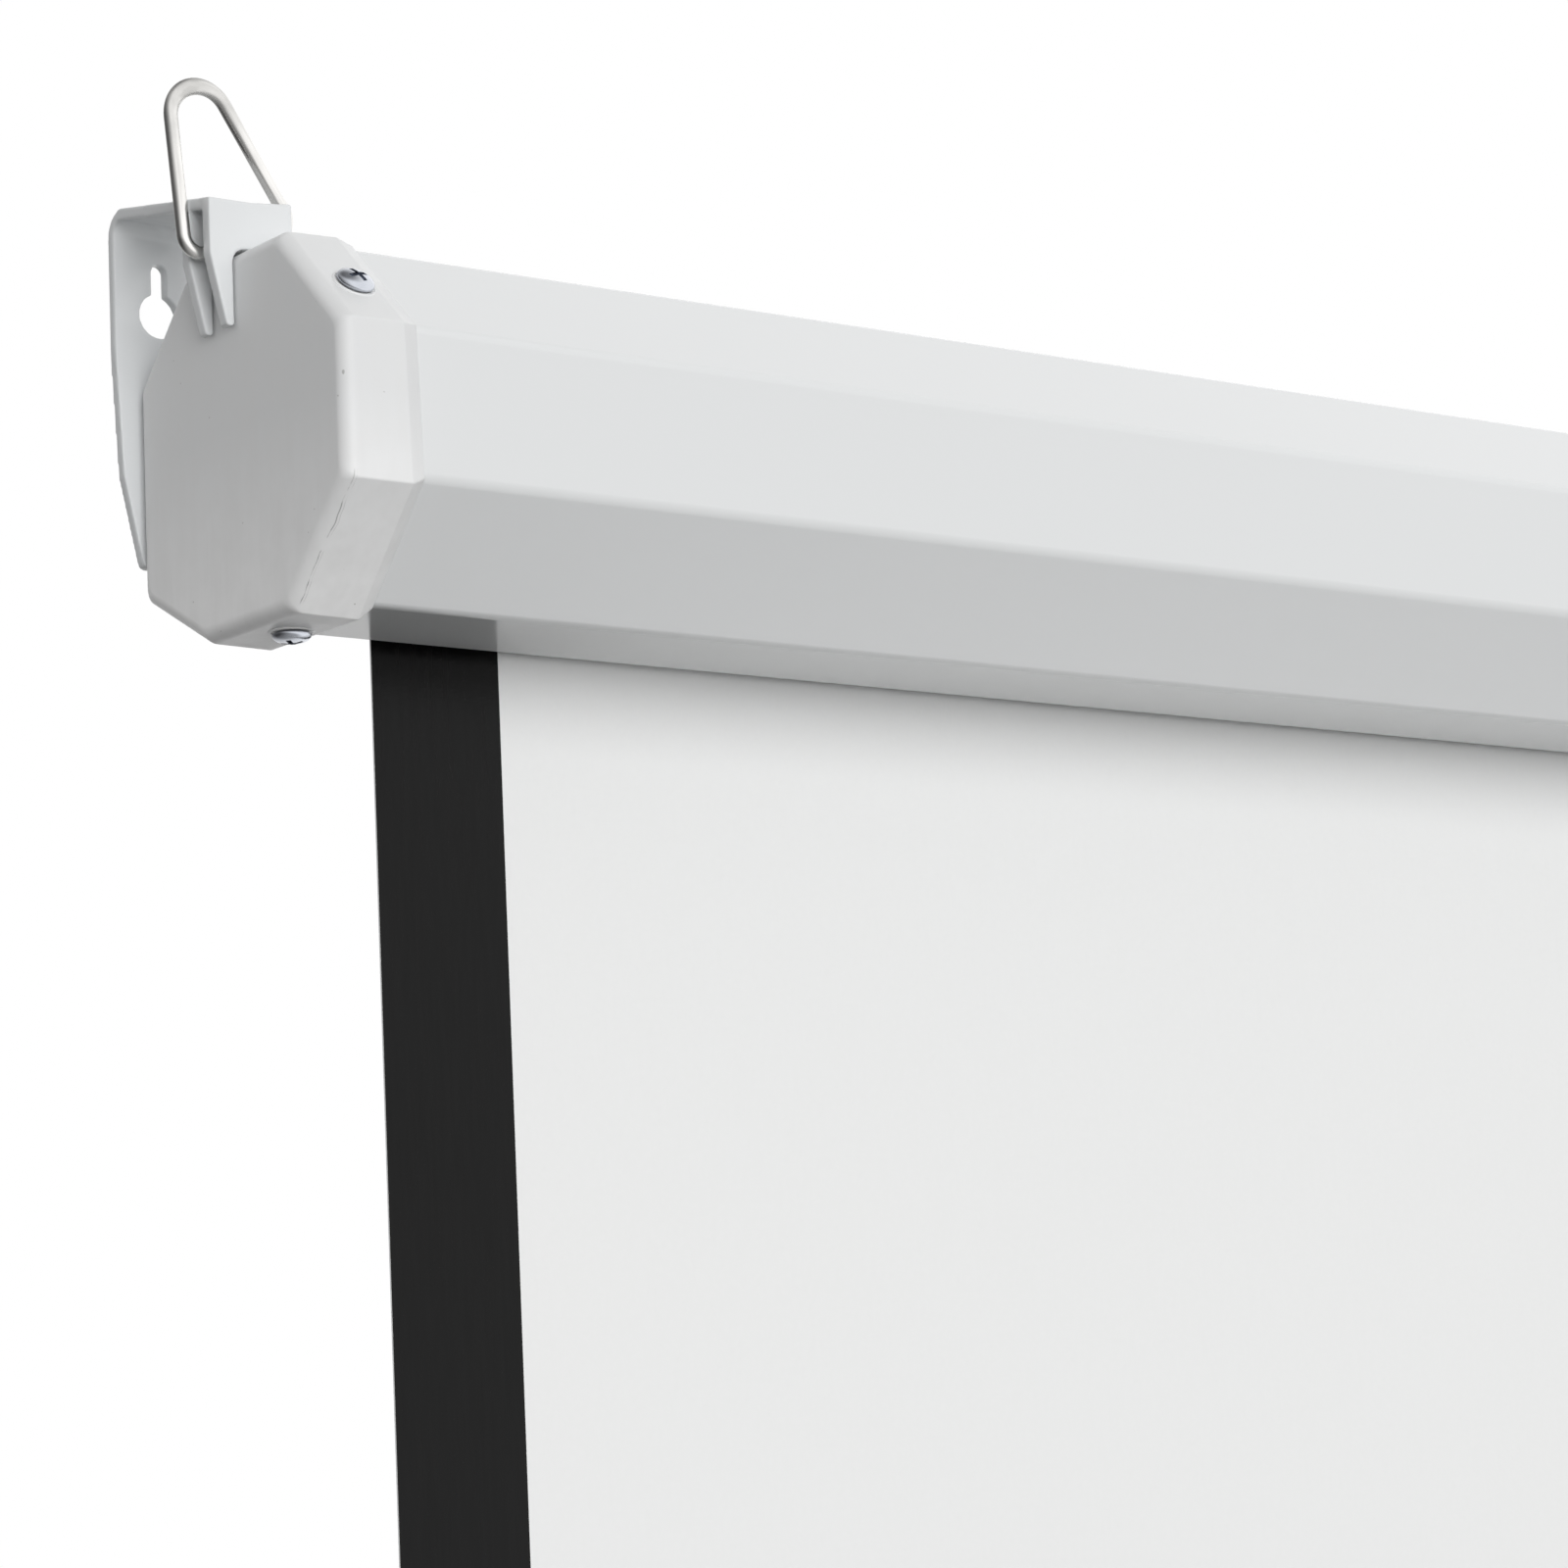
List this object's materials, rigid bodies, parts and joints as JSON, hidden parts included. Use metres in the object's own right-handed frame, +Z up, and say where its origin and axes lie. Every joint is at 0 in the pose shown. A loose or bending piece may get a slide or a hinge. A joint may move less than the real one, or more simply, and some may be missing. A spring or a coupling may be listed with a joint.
{
  "type": "pull down projector screen",
  "caption": "Wall-hung projector screen with an octagonal white case, a white cloth with black borders that pulls down from a sprung roller, a weight bar and a pull handle.",
  "frame": {"origin": "on the wall plane behind the brackets, mid-length, at the height of the roller's axis", "axes": "+X along the case to the right as the viewer faces it, +Y into the wall, +Z up"},
  "size_m": [2.376, 0.0798, 1.4522],
  "materials": {
    "case_paint": "smooth semi-gloss white powder coat",
    "cap_plastic": "satin moulded off-white plastic",
    "bracket_plastic": "glossy cool white",
    "ring_nickel": "bright nickel-plated wire",
    "screw_zinc": "bright zinc with a faint blue tint",
    "plain_steel": "plain steel, lightly oiled",
    "grey_plastic": "moulded grey plastic",
    "black_plastic": "soft black moulded plastic",
    "screen_cloth": "matt white coated cloth with a fine grain",
    "border_cloth": "satin black printed border"
  },
  "bodies": {
    "case": {"housing_shell": "case_paint", "left_end_cap": "cap_plastic", "right_end_cap": "cap_plastic", "left_cap_screw_front": "screw_zinc", "left_cap_screw_bottom": "screw_zinc", "right_cap_screw_front": "screw_zinc", "right_cap_screw_bottom": "screw_zinc", "left_bracket": "bracket_plastic", "right_bracket": "bracket_plastic", "left_bracket_screw_upper": "screw_zinc", "left_bracket_screw_lower": "screw_zinc", "right_bracket_screw_upper": "screw_zinc", "right_bracket_screw_lower": "screw_zinc", "idler_bush": "grey_plastic", "shaft_socket": "grey_plastic", "spring_shaft": "plain_steel", "ratchet_collar": "plain_steel", "torsion_spring": "plain_steel", "spring_anchor": "screw_zinc"},
    "roller": {"roller_tube": "plain_steel", "leader_wraps": "screen_cloth", "idler_plug": "grey_plastic", "drive_plug": "grey_plastic", "shaft_guide": "grey_plastic", "pawl_pin": "plain_steel"},
    "pawl": {"lock_pawl": "plain_steel"},
    "screen": {"screen_fabric": "screen_cloth", "fabric_hem": "border_cloth", "weight_bar": "case_paint", "left_bar_plug": "cap_plastic", "right_bar_plug": "cap_plastic", "handle_saddle": "cap_plastic", "left_saddle_screw": "screw_zinc", "right_saddle_screw": "screw_zinc"},
    "handle": {"pull_handle": "ring_nickel", "handle_grip": "black_plastic"},
    "left_ring": {"left_hanging_ring": "ring_nickel"},
    "right_ring": {"right_hanging_ring": "ring_nickel"}
  },
  "joints": [
    {"name": "screen_pull", "type": "slide", "parent": "case", "child": "screen", "axis": [0, 0, 1], "range_m": [0, 1.272], "deforming": ["screen_fabric"]},
    {"name": "roller_spin", "type": "hinge", "parent": "case", "child": "roller", "pos_m": [0, -0.042, 0], "axis": [1, 0, 0], "range_deg": [0, 3574]},
    {"name": "pawl_swing", "type": "hinge", "parent": "roller", "child": "pawl", "pos_m": [1.1604, -0.05, 0.0099], "axis": [1, 0, 0], "range_deg": [-16, 0]},
    {"name": "handle_swing", "type": "hinge", "parent": "screen", "child": "handle", "pos_m": [0, -0.02357, -1.3387], "axis": [1, 0, 0], "range_deg": [-85, 85]},
    {"name": "left_ring_tilt", "type": "hinge", "parent": "case", "child": "left_ring", "pos_m": [-1.1717, -0.0364, 0.03945], "axis": [0, 1, 0], "range_deg": [0, 12]},
    {"name": "right_ring_tilt", "type": "hinge", "parent": "case", "child": "right_ring", "pos_m": [1.1717, -0.0364, 0.03945], "axis": [0, -1, 0], "range_deg": [0, 12]}
  ],
  "couplings": [
    {"joint": "roller_spin", "follows": "screen_pull", "rad_per_m": 49.02}
  ]
}
